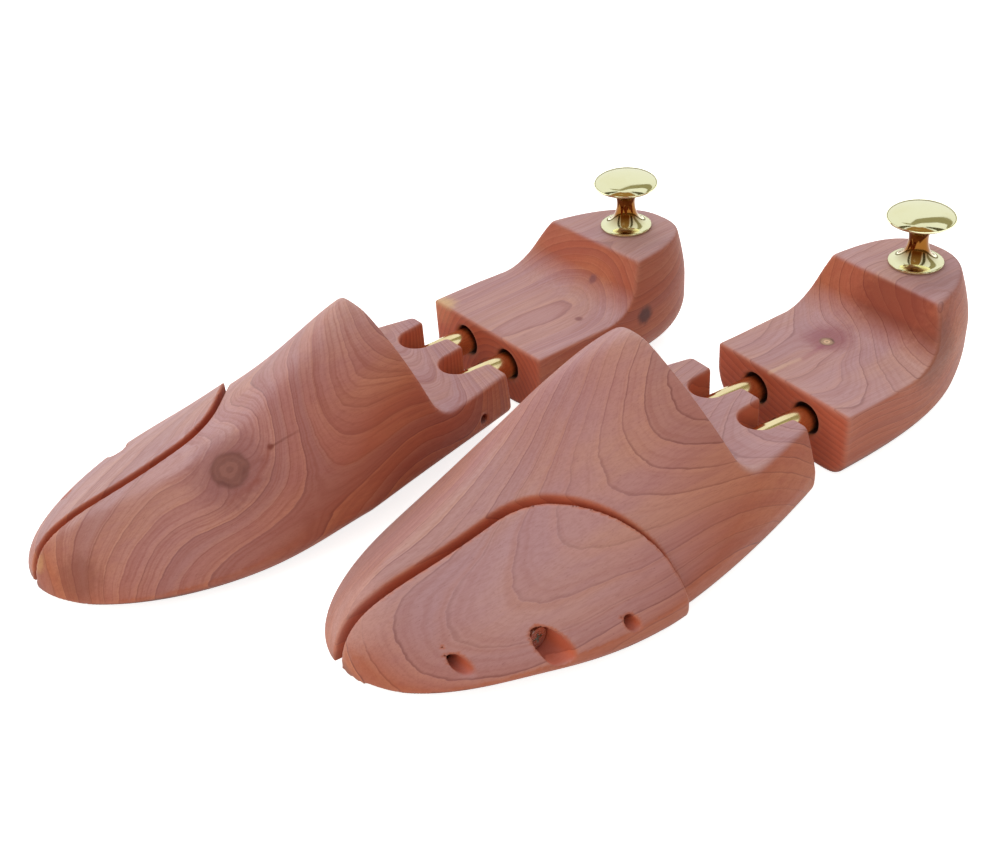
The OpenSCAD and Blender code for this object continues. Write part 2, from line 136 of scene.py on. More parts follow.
CAMERA_PLACE = Vector((284.10, -300.58, 295.49))   # from the left tree's own origin
CAMERA_AZIMUTH, CAMERA_ELEVATION = math.radians(57.8), math.radians(34.9)
CAMERA_ROLL = math.radians(-4.4)
CAMERA_LENS = 47.81


def make_camera():
    sa, ca = math.sin(CAMERA_AZIMUTH), math.cos(CAMERA_AZIMUTH)
    se, ce = math.sin(CAMERA_ELEVATION), math.cos(CAMERA_ELEVATION)
    back = Vector((sa * ce, -ca * ce, se))
    right, up = Vector((ca, sa, 0)), Vector((-sa * se, ca * se, ce))
    c, s = math.cos(CAMERA_ROLL), math.sin(CAMERA_ROLL)
    right, up = c * right + s * up, c * up - s * right
    data = bpy.data.cameras.new("camera")
    data.lens, data.sensor_width = CAMERA_LENS, 36
    data.clip_start, data.clip_end = 0.01, 20
    camera = add_object("camera", data)
    turn = Matrix((right, up, back)).transposed().to_4x4()
    place = (CAMERA_PLACE + ORIGINS["left"]) / 1000
    camera.matrix_world = Matrix.Translation(place) @ turn
    bpy.context.scene.camera = camera


make_camera()
bpy.context.scene.view_settings.view_transform = "Standard"

# ---- Fields ----


def smooth_max(a, b, k):
    """The larger of two fields, with the edge between them rounded over about k."""
    return np.maximum(a, b) + np.square(np.maximum(k - np.abs(a - b), 0)) / (4 * k)


def cut(solid, tool, k):
    return smooth_max(solid, -tool, k)


def curve(knots, s):
    """Smooth curve through [place, value] knots, level past both ends."""
    place, value = np.array(knots, float).T
    count = len(place)
    slope = [(value[min(i + 1, count - 1)] - value[max(i - 1, 0)])
             / (place[min(i + 1, count - 1)] - place[max(i - 1, 0)]) for i in range(count)]
    i = np.clip(np.searchsorted(place, s) - 1, 0, count - 2)
    wide = place[i + 1] - place[i]
    t = np.clip((s - place[i]) / wide, 0, 1)
    slope = np.array(slope)
    return (value[i] * (1 + 2 * t) * (1 - t) ** 2 + slope[i] * wide * t * (1 - t) ** 2
            + value[i + 1] * t * t * (3 - 2 * t) - slope[i + 1] * wide * t * t * (1 - t))


def side_width(s, ball, ball_reach, toe_x, waist):
    """How far the forepart reaches sideways from x = 0, at s mm towards the toe."""
    ahead = np.clip((s - ball_reach) / (TOE_END - ball_reach), 0, 1)
    behind = np.clip((ball_reach - s) / (ball_reach - TAB_GAP), 0, 1)
    return np.where(s > ball_reach, toe_x + (ball - toe_x) * np.sqrt(1 - ahead ** 2),
                    ball - (ball - TAB_HALF_W) * behind ** waist)


def ridge_line(s):
    """How far to the outer side the crown of the forepart runs."""
    return curve([[TAB_GAP, -2], [INSTEP_REACH, -6], [BALL_REACH, -14.5], [150, -6.5],
                  [TOE_REACH, TOE_X]], s)


def sole_height(s):
    """How far the sole has lifted off the floor, s mm towards the toe."""
    return TOE_SPRING * (np.clip(s - SOLE_FLAT_REACH, 0, None) / (TOE_REACH - SOLE_FLAT_REACH)) ** 2


def forepart_form(x, y, z):
    """Below 0 inside the shaped forepart, 0 on its skin, and never past 1."""
    s = np.clip(-y, TAB_GAP, TOE_END)
    ridge = ridge_line(s)
    height = curve([[TAB_GAP, INSTEP_H + 3], [INSTEP_REACH, INSTEP_H],
                    [90, BALL_H + 0.56 * (INSTEP_H - BALL_H)], [115, BALL_H],
                    [140, TOE_BOX_H + 0.41 * (BALL_H - TOE_BOX_H)],
                    [TOE_BOX_REACH, TOE_BOX_H], [TOE_REACH, TOE_BOX_H - 2]], s)
    close = (s - CLOSE_START) / (TOE_END - CLOSE_START)
    shut = np.sqrt(np.maximum(1 - np.clip(close, 0, 1) ** 4, 1e-6))
    sole = sole_height(s) - SOLE_FLAT
    level_outer = curve([[TAB_GAP, SIDE_LEVEL], [SOLE_FLAT_REACH, SIDE_LEVEL],
                         [TOE_REACH, TIP_LEVEL]], s)
    level_inner = curve([[TAB_GAP, ARCH_LEVEL], [90, ARCH_LEVEL],
                         [SOLE_FLAT_REACH, SIDE_LEVEL - 1], [TOE_REACH, TIP_LEVEL]], s)
    width_outer = side_width(s, BALL_OUTER, BALL_OUTER_REACH, TOE_X, FULLNESS_WAIST) - ridge
    width_inner = side_width(s, BALL_INNER, BALL_INNER_REACH, -TOE_X, FULLNESS_WAIST_INNER) + ridge
    # fullness of a section: 2 is an ellipse, more is squarer, less is leaner
    full_outer = 1.23
    full_inner = curve([[TAB_GAP, 1.65], [INSTEP_REACH, 1.65], [90, 1.25], [115, 1.25],
                        [150, 1.1], [TOE_REACH, 1.1]], s)
    full_sole_outer = curve([[TAB_GAP, 4.3], [110, 4.3], [150, 2.15], [TOE_REACH, 2.15]], s)
    full_sole_inner = curve([[TAB_GAP, 1.5], [90, 1.5], [SOLE_FLAT_REACH, 2.3],
                             [TOE_REACH, 2.3]], s)
    outer = x >= ridge
    level = np.where(outer, level_outer, level_inner)
    upper = z >= level
    half = np.maximum(np.where(outer, width_outer, width_inner), 0.05)
    tall = np.maximum(np.where(upper, height - level, level - sole) * shut, 0.05)
    full = np.where(upper, np.where(outer, full_outer, full_inner),
                    np.where(outer, full_sole_outer, full_sole_inner))
    across, along = np.abs(x - ridge) / half, np.abs(z - level) / tall
    rho = (across ** full + along ** full) ** (2 / full)
    rho = np.where(-y > TOE_END, 9, rho)   # well outside, past the tip
    return (rho - 1) / (rho + 1)


def to_line(points, u, v):
    """Signed distance to a polyline in a plane: above 0 on the left of its way."""
    best = np.full(np.broadcast(u, v).shape, 1e9)
    sign = np.ones_like(best)
    for (u0, v0), (u1, v1) in zip(points[:-1], points[1:]):
        du, dv = u1 - u0, v1 - v0
        t = np.clip(((u - u0) * du + (v - v0) * dv) / (du * du + dv * dv), 0, 1)
        away = np.square(u - u0 - t * du) + np.square(v - v0 - t * dv)
        side = np.sign(du * (v - v0) - dv * (u - u0))
        nearer = away < best - 1e-9
        best = np.where(nearer, away, best)
        sign = np.where(nearer, side, sign)
    return np.sqrt(best) * sign


def arc(start, heading, radius, to_heading):
    """Ten points on an arc of the split; headings in degrees from +Y towards +X."""
    a = np.radians(np.linspace(heading, to_heading, 11)[1:])
    h = math.radians(heading)
    return [(start[0] + radius * (math.cos(h) - math.cos(t)),
             start[1] + radius * (math.sin(t) - math.sin(h))) for t in a]


def make_split():
    points = [(SPLIT_X, -260.0), (SPLIT_X, -SPLIT_BEND_REACH)]
    heading = 0
    for radius, to_heading in SPLIT_BENDS:
        points += arc(points[-1], heading, radius, to_heading)
        heading = to_heading
    h = math.radians(heading)
    points.append((points[-1][0] + 60 * math.sin(h), points[-1][1] + 60 * math.cos(h)))
    return points


SPLIT = make_split()


def make_instep_line():
    """The cut in front of the tab, as (forward, up) points, solid on the right of its way."""
    crest_z = INSTEP_H - CREST_R
    from_s = CREST_REACH - CREST_R * math.sin(CUT_SLOPE)
    from_z = crest_z + CREST_R * math.cos(CUT_SLOPE)
    valley_top = TAB_H + VALLEY_R * (1 - math.cos(CUT_SLOPE))
    valley_s = (from_s - (from_z - valley_top) / math.tan(CUT_SLOPE)
                - VALLEY_R * math.sin(CUT_SLOPE))
    turn = np.linspace(0, CUT_SLOPE, 13)
    return ([(-40.0, TAB_H)]
            + [(valley_s + VALLEY_R * math.sin(a), TAB_H + VALLEY_R * (1 - math.cos(a)))
               for a in turn]
            + [(CREST_REACH - CREST_R * math.sin(a), crest_z + CREST_R * math.cos(a))
               for a in turn[::-1]]
            + [(200.0, INSTEP_H)])


INSTEP_LINE = make_instep_line()
OUT = np.array([math.cos(WING_DIR), math.sin(WING_DIR)])
PIN_REACHES = [WING_SCREW_REACH + i * WING_PIN_PITCH / math.cos(WING_DIR) for i in (-1, 0, 1)]


def wing_axis(reach, x, y, z):
    """How far out from the split along a pin's way, and how far from its axis."""
    along = (x - SPLIT_X) * OUT[0] + (y + reach) * OUT[1]
    across = -(x - SPLIT_X) * OUT[1] + (y + reach) * OUT[0]
    return along, np.sqrt(np.square(across) + np.square(z - WING_PIN_Z))


def notch(side, x, y, z):
    """The slot over a tube in the tab, wider towards its mouth."""
    centre_y = -(TAB_GAP + NOTCH_LEN - NOTCH_R)
    x = x - side * TUBE_PITCH / 2
    slot = np.abs(x) - NOTCH_R - (NOTCH_MOUTH - NOTCH_R) * np.clip(
        (y - centre_y) / (-TAB_GAP - centre_y), 0, 1)
    plan = np.where(y < centre_y, np.hypot(x, y - centre_y) - NOTCH_R, slot)
    return np.maximum(plan, TUBE_Z - BORE_R - z)


def tube_bore(side, x, y, z, y0, y1):
    round_ = np.hypot(x - side * TUBE_PITCH / 2, z - TUBE_Z) - BORE_R
    return np.maximum(round_, np.maximum(y0 - y, y - y1))


def forepart_cuts(d, x, y, z):
    d = smooth_max(d, y + TAB_GAP, 1.6)
    d = cut(d, -to_line(INSTEP_LINE, -y, z), 1.5)
    d = cut(d, to_line(SPLIT, x + SPLIT_GAP, y - SPLIT_REAR_GAP), 0.6)
    for side in (-1, 1):
        d = cut(d, notch(side, x, y, z), 1.0)
        d = cut(d, tube_bore(side, x, y, z, -POCKET_REACH, 40), 0.7)
    pin_end = 23
    pin = np.maximum(np.hypot(y + HINGE_REACH, z - TUBE_Z) - HINGE_PIN_R, x - pin_end)
    d = cut(d, pin, 0.5)
    for reach in PIN_REACHES:
        along, away = wing_axis(reach, x, y, z)
        r = SPRING_POCKET_R if reach == WING_SCREW_REACH else GUIDE_PIN_R
        d = cut(d, np.maximum(away - r, -SPRING_POCKET_DEPTH - along), 0.5)
    return smooth_max(d, -z, 0.8)


def wing_form(x, y, z):
    """The forepart's form, moved out by the wing's travel."""
    return forepart_form(x - WING_TRAVEL * OUT[0], y - WING_TRAVEL * OUT[1], z)


def wing_cuts(d, x, y, z):
    d = smooth_max(d, to_line(SPLIT, x - WING_TRAVEL * OUT[0], y - WING_TRAVEL * OUT[1]), 0.6)
    room_r, room_out = GUIDE_PIN_R + 0.1, PIN_IN_WING + WING_TRAVEL + 1.2
    for reach in PIN_REACHES:
        along, away = wing_axis(reach, x, y, z)
        if reach == WING_SCREW_REACH:
            hole = np.maximum(away - SCREW_MOUTH_R, SCREW_HEAD_OUT - along)
        else:
            room = np.maximum(away - room_r, along - room_out)
            hole = np.minimum(away - PIN_MOUTH_R, room)
        d = cut(d, hole, 0.5)
    return smooth_max(d, -z, 0.8)


def round_under(z, r):
    """How far a wall of the heel draws in under its lower edge, rounded at radius r."""
    return np.where(z >= r, 0, r - np.sqrt(np.maximum(0, r * r - np.square(r - np.minimum(z, r)))))


def lean_in(z, most):
    """How far a wall of the heel leans in towards the top."""
    return most * (np.clip(z - HEEL_WAIST_Z, 0, None) / (HEEL_TOP_H - HEEL_WAIST_Z)) ** 1.6


def heel_form(x, y, z):
    """Below 0 inside the shaped heel, 0 on its skin, and never past 1."""
    back = HEEL_LEN - round_under(z, HEEL_CORNER_BACK) - lean_in(z, HEEL_LEAN_BACK)
    v = np.clip(y / back, 0, 1.5)
    x = x + HEEL_BOW * v ** 2
    half = HEEL_HALF_W - np.where(
        x >= 0, round_under(z, HEEL_CORNER_OUTER) + lean_in(z, HEEL_LEAN_OUTER),
        round_under(z, HEEL_CORNER_INNER) + lean_in(z, HEEL_LEAN_INNER))
    rho = (np.abs(x) / half) ** HEEL_SQUARE + v ** HEEL_FULL
    return (rho - 1) / (rho + 1)


def make_cove_line():
    """The heel's flat, cove and rising front, as (back, up) points."""
    end_z = HEEL_FRONT_H + COVE_R * (1 - math.cos(COVE_SLOPE))
    end_y = HEEL_TOP_SETBACK - (HEEL_TOP_H - end_z) / math.tan(COVE_SLOPE)
    start_y = end_y - COVE_R * math.sin(COVE_SLOPE)
    return ([(-40.0, HEEL_FRONT_H)]
            + [(start_y + COVE_R * math.sin(a), HEEL_FRONT_H + COVE_R * (1 - math.cos(a)))
               for a in np.linspace(0, COVE_SLOPE, 17)]
            + [(HEEL_TOP_SETBACK + 10 / math.tan(COVE_SLOPE), HEEL_TOP_H + 10)])


COVE_LINE = make_cove_line()


def heel_cuts(d, x, y, z):
    d = smooth_max(d, -y, 1.2)
    d = smooth_max(d, z - HEEL_TOP_H, 1.4)
    d = cut(d, -to_line(COVE_LINE, y, z), 1.2)
    for side in (-1, 1):
        d = cut(d, tube_bore(side, x, y, z, -5, BORE_DEPTH), 0.8)
    return smooth_max(d, -z, 0.8)


# ---- From fields to meshes ----


def grid_field(form, cuts, xs, ys, zs):
    """The cut form on a grid, in millimetres near its skin."""
    x, y, z = xs[:, None, None], ys[None, :, None], zs[None, None, :]
    f = form(x, y, z)
    steep = np.sqrt(sum(np.square(g) for g in np.gradient(f, xs, ys, zs)))
    return cuts(f / np.maximum(steep, MIN_SLOPE), x, y, z)


def skin_distance(form, p):
    """Distance from the uncut form's skin at points, by its own slope."""
    step = 0.03
    f = form(*p.T)
    steep = np.sqrt(sum(np.square((form(*(p + step * e).T) - f) / step) for e in np.eye(3)))
    return f / np.maximum(steep, MIN_SLOPE)


def surface_nets(field, xs, ys, zs):
    """A quad mesh on the field's zero level: one point in each cell that it crosses."""
    inside = field < 0
    n = np.array(field.shape) - 1
    corner = [(i, j, k) for i in (0, 1) for j in (0, 1) for k in (0, 1)]

    def shifted(a, c):
        return a[c[0]:c[0] + n[0], c[1]:c[1] + n[1], c[2]:c[2] + n[2]]

    count = sum(shifted(inside, c).astype(np.int8) for c in corner)
    cells = np.argwhere((count > 0) & (count < 8))
    index = np.full(n, -1, np.int64)
    index[tuple(cells.T)] = np.arange(len(cells))
    axes = (xs, ys, zs)
    total, hits = np.zeros((len(cells), 3)), np.zeros(len(cells))
    for a in corner:
        for axis in range(3):
            if a[axis]:
                continue
            b = list(a)
            b[axis] = 1
            va = field[tuple((cells + a).T)]
            vb = field[tuple((cells + b).T)]
            crossed = (va < 0) != (vb < 0)
            t = np.where(crossed, va / np.where(crossed, va - vb, 1), 0)
            for q in range(3):
                lo, hi = axes[q][cells[:, q] + a[q]], axes[q][cells[:, q] + b[q]]
                total[:, q] += np.where(crossed, lo + t * (hi - lo), 0)
            hits += crossed
    points = total / hits[:, None]
    quads = []
    for axis in range(3):
        u, v = [(1, 2), (2, 0), (0, 1)][axis]
        start = [slice(None)] * 3
        stop = [slice(None)] * 3
        start[axis], stop[axis] = slice(0, -1), slice(1, None)
        edges = np.argwhere(inside[tuple(start)] != inside[tuple(stop)])
        edges = edges[(edges[:, u] > 0) & (edges[:, v] > 0)
                      & (edges[:, u] < n[u]) & (edges[:, v] < n[v])]
        around = []
        for du, dv in ((1, 1), (0, 1), (0, 0), (1, 0)):
            cell = edges.copy()
            cell[:, u] -= du
            cell[:, v] -= dv
            around.append(index[tuple(cell.T)])
        quad = np.stack(around, 1)
        leaving = inside[tuple(edges.T)]
        quads.append(np.where(leaving[:, None], quad, quad[:, ::-1]))
    return points, np.concatenate(quads)


def sculpt(form, cuts, xs, ys, zs):
    """Points, outward normals, faces and how deep each point lies inside the uncut form."""
    points, quads = surface_nets(grid_field(form, cuts, xs, ys, zs), xs, ys, zs)

    def solid(p):
        return cuts(skin_distance(form, p), *p.T)

    step = 0.05
    for _ in range(2):
        d = solid(points)
        slope = np.stack([(solid(points + step * e) - solid(points - step * e)) / (2 * step)
                          for e in np.eye(3)], 1)
        steep, most = np.maximum(np.square(slope).sum(1), 0.2), 0.3
        points = points - np.clip(d / steep, -most, most)[:, None] * slope
    normals = slope / np.maximum(np.linalg.norm(slope, axis=1), 1e-6)[:, None]
    return points, normals, quads, -skin_distance(form, points)


def edges_of(quads):
    """Both ways along each edge, as pairs of points."""
    pairs = np.concatenate([quads[:, [i, (i + 1) % 4]] for i in range(4)])
    pairs = np.unique(np.sort(pairs, 1), axis=0)
    return np.concatenate([pairs, pairs[:, ::-1]])


def neighbour_mean(values, edges, times=1):
    """The mean of the values at the points joined to each point by an edge."""
    hits = np.bincount(edges[:, 0], minlength=len(values))
    for _ in range(times):
        columns = [np.bincount(edges[:, 0], column[edges[:, 1]], len(values)) / hits
                   for column in np.reshape(values, (len(values), -1)).T]
        values = np.stack(columns, 1).reshape(np.shape(values))
    return values


def relax(points, edges, keep):
    """Evens the mesh out a little, as sanding does, and gives back what it shrank."""
    for amount in (0.5, -0.52):
        points = points + amount * (1 - keep) * (neighbour_mean(points, edges) - points)
    return points


def add_mesh(name, points, faces, side, body, node, material, values):
    """A smooth piece from one tree's own points, in the place of one CAD node."""
    turn = np.array(placed(side))
    world = np.asarray(points) @ turn[:3, :3].T + turn[:3, 3]
    if side == "right":
        faces = faces[:, ::-1]
    mesh = bpy.data.meshes.new(name)
    mesh.from_pydata(world.tolist(), [], faces.tolist())
    for key, value in values.items():
        mesh.attributes.new(key, "FLOAT", "POINT").data.foreach_set(
            "value", np.asarray(value, np.float32))
    mesh.polygons.foreach_set("use_smooth", [True] * len(mesh.polygons))
    mesh.materials.append(material)
    piece = add_object(name, mesh)
    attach(piece, f"{side}_{body}")
    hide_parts(f"{side}_{node}")
    return piece


# ---- Materials ----


class Graph:
    """Short ways to add and join the nodes of one material."""

    def __init__(self, name):
        self.material = bpy.data.materials.new(name)
        self.material.use_nodes = True
        self.tree = self.material.node_tree
        self.tree.nodes.clear()
        self.shader = self.tree.nodes.new("ShaderNodeBsdfPrincipled")
        output = self.tree.nodes.new("ShaderNodeOutputMaterial")
        self.tree.links.new(self.shader.outputs[0], output.inputs[0])

    def put(self, socket, value):
        if isinstance(value, bpy.types.NodeSocket):
            self.tree.links.new(value, socket)
        else:
            socket.default_value = value

    def node(self, kind, *values, **settings):
        made = self.tree.nodes.new("ShaderNode" + kind)
        for key, value in settings.items():
            setattr(made, key, value)
        for socket, value in zip(made.inputs, values):
            if value is not None:
                self.put(socket, value)
        return made

    def math(self, operation, *values, clamp=False):
        return self.node("Math", *values, operation=operation, use_clamp=clamp).outputs[0]

    def vector(self, operation, *values):
        made = self.tree.nodes.new("ShaderNodeVectorMath")
        made.operation = operation
        for i, value in enumerate(values):
            if operation == "SCALE" and i == 1:
                self.put(made.inputs["Scale"], value)
            else:
                self.put(made.inputs[i], value)
        return made.outputs["Value" if operation in ("LENGTH", "DOT_PRODUCT") else "Vector"]

    def attribute(self, name, kind="Fac"):
        return self.node("Attribute", attribute_name=name).outputs[kind]

    def noise(self, place, scale, detail, rough):
        made = self.tree.nodes.new("ShaderNodeTexNoise")
        self.put(made.inputs["Vector"], place)
        made.inputs["Scale"].default_value = scale
        made.inputs["Detail"].default_value = detail
        made.inputs["Roughness"].default_value = rough
        return made.outputs["Fac"]

    def ramp(self, value, low, high, out_low=0.0, out_high=1.0, smooth=True):
        made = self.tree.nodes.new("ShaderNodeMapRange")
        made.interpolation_type = "SMOOTHSTEP" if smooth else "LINEAR"
        for socket, v in zip(list(made.inputs)[:5], (value, low, high, out_low, out_high)):
            self.put(socket, v)
        return made.outputs[0]

    def mix(self, amount, a, b):
        made = self.tree.nodes.new("ShaderNodeMix")
        made.data_type = "RGBA"
        self.put(made.inputs["Factor"], amount)
        self.put(made.inputs["A"], a)
        self.put(made.inputs["B"], b)
        return made.outputs["Result"]

    def bump(self, strength, distance, height):
        made = self.node("Bump")
        for key, value in (("Strength", strength), ("Distance", distance), ("Height", height)):
            self.put(made.inputs[key], value)
        return made.outputs[0]

    def chance(self, number):
        """A random value from 0 to 1 for each whole number."""
        made = self.node("TexWhiteNoise", noise_dimensions="1D")
        self.put(made.inputs["W"], number)
        return made.outputs["Value"]

    def set(self, **values):
        for key, value in values.items():
            self.put(self.shader.inputs[key.replace("_", " ")], value)


def rgb(r, g, b):
    """A colour given as it looks on a screen, from 0 to 255."""
    def linear(v):
        v /= 255
        return v / 12.92 if v <= 0.04045 else ((v + 0.055) / 1.055) ** 2.4
    return linear(r), linear(g), linear(b), 1.0


def with_patches(g, base, patches, place, up, mottle):
    """The base colour with patches that fade out from their centres: stains, and also painted
    shade, painted light and a painted sheen.
    """
    for centre, radius, amount, colour, *wall in patches:
        away = g.math("DIVIDE", g.vector("LENGTH", g.vector("SUBTRACT", place, centre)), radius)
        away = g.math("MULTIPLY_ADD", mottle, 0.25, away)
        spread = g.ramp(away, 1.0, 0.35, 0.0, amount)
        if wall:
            spread = g.math("MULTIPLY", spread, g.math("SUBTRACT", 1.0, up))
        base = g.mix(spread, base, colour)
    return base


def with_streaks(g, base, streaks, place, mottle):
    """The base colour with stains along straight lines, weaker towards their stops."""
    for start, stop, half, amount, colour in streaks:
        run = np.subtract(stop, start)
        reach = float(np.linalg.norm(run))
        way = tuple(run / reach)
        off = g.vector("SUBTRACT", place, start)
        along = g.math("DIVIDE", g.vector("DOT_PRODUCT", off, way), reach, clamp=True)
        off = g.vector("SUBTRACT", off, g.vector("SCALE", way, g.math("MULTIPLY", along, reach)))
        away = g.math("DIVIDE", g.vector("LENGTH", off), half)
        away = g.math("MULTIPLY_ADD", mottle, 0.6, away)
        spread = g.math("MULTIPLY", g.math("MULTIPLY_ADD", along, -0.6, 1.0),
                        g.ramp(away, 1.3, 0.2, 0.0, amount))
        base = g.mix(spread, base, colour)
    return base


def with_knots(g, base, knots, place, mottle, wobble):
    """The base colour with the ends of branches: a dark rim and whorls round a heart."""
    for centre, direction, radius, rim, heart in knots:
        direction = tuple(np.array(direction) / np.linalg.norm(direction))
        off = g.vector("SUBTRACT", place, centre)
        height = g.vector("DOT_PRODUCT", off, direction)
        off = g.vector("SUBTRACT", off, g.vector("SCALE", direction, height))
        away = g.math("DIVIDE", g.vector("LENGTH", off), radius)
        away = g.math("MULTIPLY_ADD", mottle, 0.05, g.math("MULTIPLY_ADD", wobble, 0.24, away))
        whorl = g.math("SINE", g.math("MULTIPLY", away, 14.0))
        core = g.mix(g.ramp(whorl, -0.6, 0.9, 0.0, 0.4), heart, rim)
        rind = g.math("MULTIPLY", g.ramp(away, 0.50, 0.88), g.ramp(wobble, -0.5, 0.4, 0.4, 0.9))
        core = g.mix(rind, core, rim)
        base = g.mix(g.ramp(away, 1.22, 0.86, 0.0, 0.85), base, core)
    return base


def cedar(name, seed, knots=(), patches=(), streaks=(), line=1.0, contrast=1.0):
    """Cedar around ring numbers that the mesh carries, in the tree's own millimetres.

    knots: (centre, direction, radius, rim colour, heart colour)
    patches: (centre, radius, strength, colour), and True for upright faces only
    streaks: (start, stop, half width, strength, colour)
    """
    g = Graph(name)
    place = g.attribute("place", "Vector")
    up = g.attribute("up")
    grain = g.vector("MULTIPLY", g.vector("ADD", place, (seed, seed * 7, -seed)), (1.0, 0.035, 1.0))
    slow = g.vector("MULTIPLY", g.vector("ADD", place, (seed, 0, seed)), (1.0, 0.3, 1.0))
    sway = g.noise(slow, 0.07, 2.0, 0.5)
    ripple = g.noise(slow, 0.33, 2.0, 0.55)
    rings = g.math("MULTIPLY_ADD", sway, 0.5, g.attribute("rings"))
    rings = g.math("MULTIPLY_ADD", ripple, 0.16, rings)
    rings = g.math("SUBTRACT", rings, 0.33)
    turn = g.math("FRACT", rings)
    number = g.math("FLOOR", rings)
    chance_line, chance_tone, chance_dusk = (
        g.chance(g.math("ADD", number, seed + shift)) for shift in (0, 40.5, 80.25))
    # latewood: darkens towards the ring's outside, then stops sharply
    shade = g.math("MULTIPLY", g.ramp(turn, 0.25, 0.96), g.ramp(turn, 1.0, 0.97))
    edge = g.math("MULTIPLY", g.ramp(turn, 0.885, 0.965), g.ramp(turn, 1.0, 0.98))
    strength = g.ramp(chance_line, 0.0, 1.0, 0.35, 1.0, smooth=False)
    strength = g.math("MULTIPLY", strength, g.ramp(sway, 0.25, 0.6, 0.55, 1.0))
    strength = g.math("MULTIPLY", strength, g.math("MULTIPLY_ADD", up, -0.42, 1.0))
    edge = g.math("MULTIPLY", edge, strength)
    # finer lines between the rings, as the light and dark years vary
    years = g.math("MULTIPLY", rings, 5.5)
    years = g.node("CombineXYZ", years, g.math("MULTIPLY", sway, 1.5), seed).outputs[0]
    fine = g.noise(years, 1.0, 2.0, 0.6)
    fibre = g.noise(grain, 1.7, 3.0, 0.62)
    streak = g.noise(grain, 0.38, 3.0, 0.55)
    cloud = g.noise(slow, 0.045, 2.0, 0.5)

    # Each tone is a side colour and a paler mauve top colour, mixed by how far the face turns up:
    # painted light from a cool light above.
    pink = g.mix(up, rgb(180, 102, 76), rgb(187, 148, 149))
    tan = g.mix(up, rgb(188, 114, 82), rgb(192, 150, 141))
    rose = g.mix(up, rgb(164, 84, 64), rgb(177, 136, 141))
    base = g.mix(g.ramp(cloud, 0.36, 0.62), pink, tan)
    base = g.mix(g.ramp(chance_tone, 0.3, 1.0, 0.0, 0.45), base, rose)
    dusk = g.mix(up, rgb(150, 92, 84), rgb(166, 130, 136))
    base = g.mix(g.ramp(chance_dusk, 0.5, 1.0, 0.0, 0.5 * contrast), base, dusk)
    base = g.mix(g.ramp(turn, 0.30, 0.03, 0.0, 0.11), base, rgb(212, 148, 110))
    base = g.mix(g.ramp(streak, 0.42, 0.75, 0.0, 0.38), base, rose)
    base = g.mix(g.ramp(fine, 0.42, 0.72, 0.0, 0.34 * contrast), base, rgb(142, 74, 60))
    base = g.mix(g.math("MULTIPLY", shade, 0.16 * contrast), base, rgb(140, 66, 52))
    base = g.mix(g.math("MULTIPLY", edge, 0.68 * line), base, rgb(98, 44, 38))
    mottle = g.math("MULTIPLY_ADD", g.noise(place, 0.5, 3.0, 0.6), 2.0, -1.0)
    wobble = g.math("MULTIPLY_ADD", g.noise(place, 0.22, 1.0, 0.5), 2.0, -1.0)
    base = with_patches(g, base, patches, place, up, mottle)
    base = with_streaks(g, base, streaks, place, mottle)
    base = with_knots(g, base, knots, place, mottle, wobble)
    base = g.mix(g.ramp(fibre, 0.40, 0.68, 0.0, 0.15), base, rgb(132, 70, 56))
    pores = g.noise(g.vector("MULTIPLY", place, (1.0, 0.16, 1.0)), 3.4, 2.0, 0.6)
    base = g.mix(g.ramp(pores, 0.62, 0.74, 0.0, 0.30), base, rgb(112, 58, 48))
    # Painted shade: dark under the rounded lower edge, where the sole meets the floor.
    base = g.mix(g.math("MULTIPLY", g.attribute("under"), 0.85), base, rgb(64, 32, 24))
    # Sawn faces take a redder tone of their own, brightened as painted light to make up for the
    # shade they lie in.
    sawn = g.mix(g.math("MULTIPLY", shade, 0.45), rgb(208, 104, 72), rgb(164, 74, 52))
    base = g.mix(g.math("MULTIPLY", g.attribute("inner"), 0.72), base, sawn)
    base = g.mix(g.math("MULTIPLY", g.attribute("unlit"), 0.88), base, rgb(38, 14, 8))
    base = g.mix(g.math("MULTIPLY", g.attribute("arris"), 0.30), base, rgb(210, 160, 144))
    rough = g.math("MULTIPLY_ADD", edge, -0.08, g.ramp(fibre, 0.3, 0.7, 0.46, 0.58))
    rough = g.math("MULTIPLY_ADD", g.attribute("inner"), 0.12, rough)
    relief = g.math("SUBTRACT", fibre, g.ramp(pores, 0.6, 0.75, 0.0, 0.5))
    relief = g.math("MULTIPLY_ADD", edge, 0.5, relief)
    g.set(Base_Color=base, Roughness=rough, Normal=g.bump(0.30, 0.00014, relief),
          Specular_IOR_Level=0.22, Sheen_Weight=0.08, Sheen_Roughness=0.5,
          Sheen_Tint=(0.86, 0.93, 1.0, 1))
    return g.material


def metal(name, colour, dull, rough, tarnish, scratch=(1, 1, 1), worn=1.0, recess=None):
    """A metal with fine working marks, a slight tarnish, and a painted reflection in its recesses.

    dull: the tarnish's colour; tarnish: its strength; scratch: how the marks are drawn out along
    x, y and z; worn: the marks' strength; recess: the painted reflection's colour in a recess
    """
    g = Graph(name)
    place = g.node("TexCoord").outputs["Object"]
    marks = g.noise(g.vector("MULTIPLY", place, tuple(900.0 * s for s in scratch)), 1.0, 3.0, 0.6)
    cloud = g.noise(place, 90.0, 3.0, 0.55)
    base = g.mix(g.ramp(cloud, 0.4, 0.75, 0.0, tarnish), colour, dull)
    base = g.mix(g.ramp(marks, 0.35, 0.7, 0.0, 0.18 * worn), base, dull)
    # Painted reflection: a deeper brown-orange where the mesh says recess, for the wood and dark
    # room that a hollow stem mirrors.
    if recess:
        base = g.mix(g.attribute("recess"), base, recess)
    roughness = g.ramp(cloud, 0.3, 0.7, rough - 0.03, rough + 0.04)
    roughness = g.math("MULTIPLY_ADD", marks, 0.08 * worn, roughness)
    g.set(Base_Color=base, Metallic=1.0, Roughness=roughness,
          Normal=g.bump(0.06 * worn, 0.00003, marks))
    return g.material


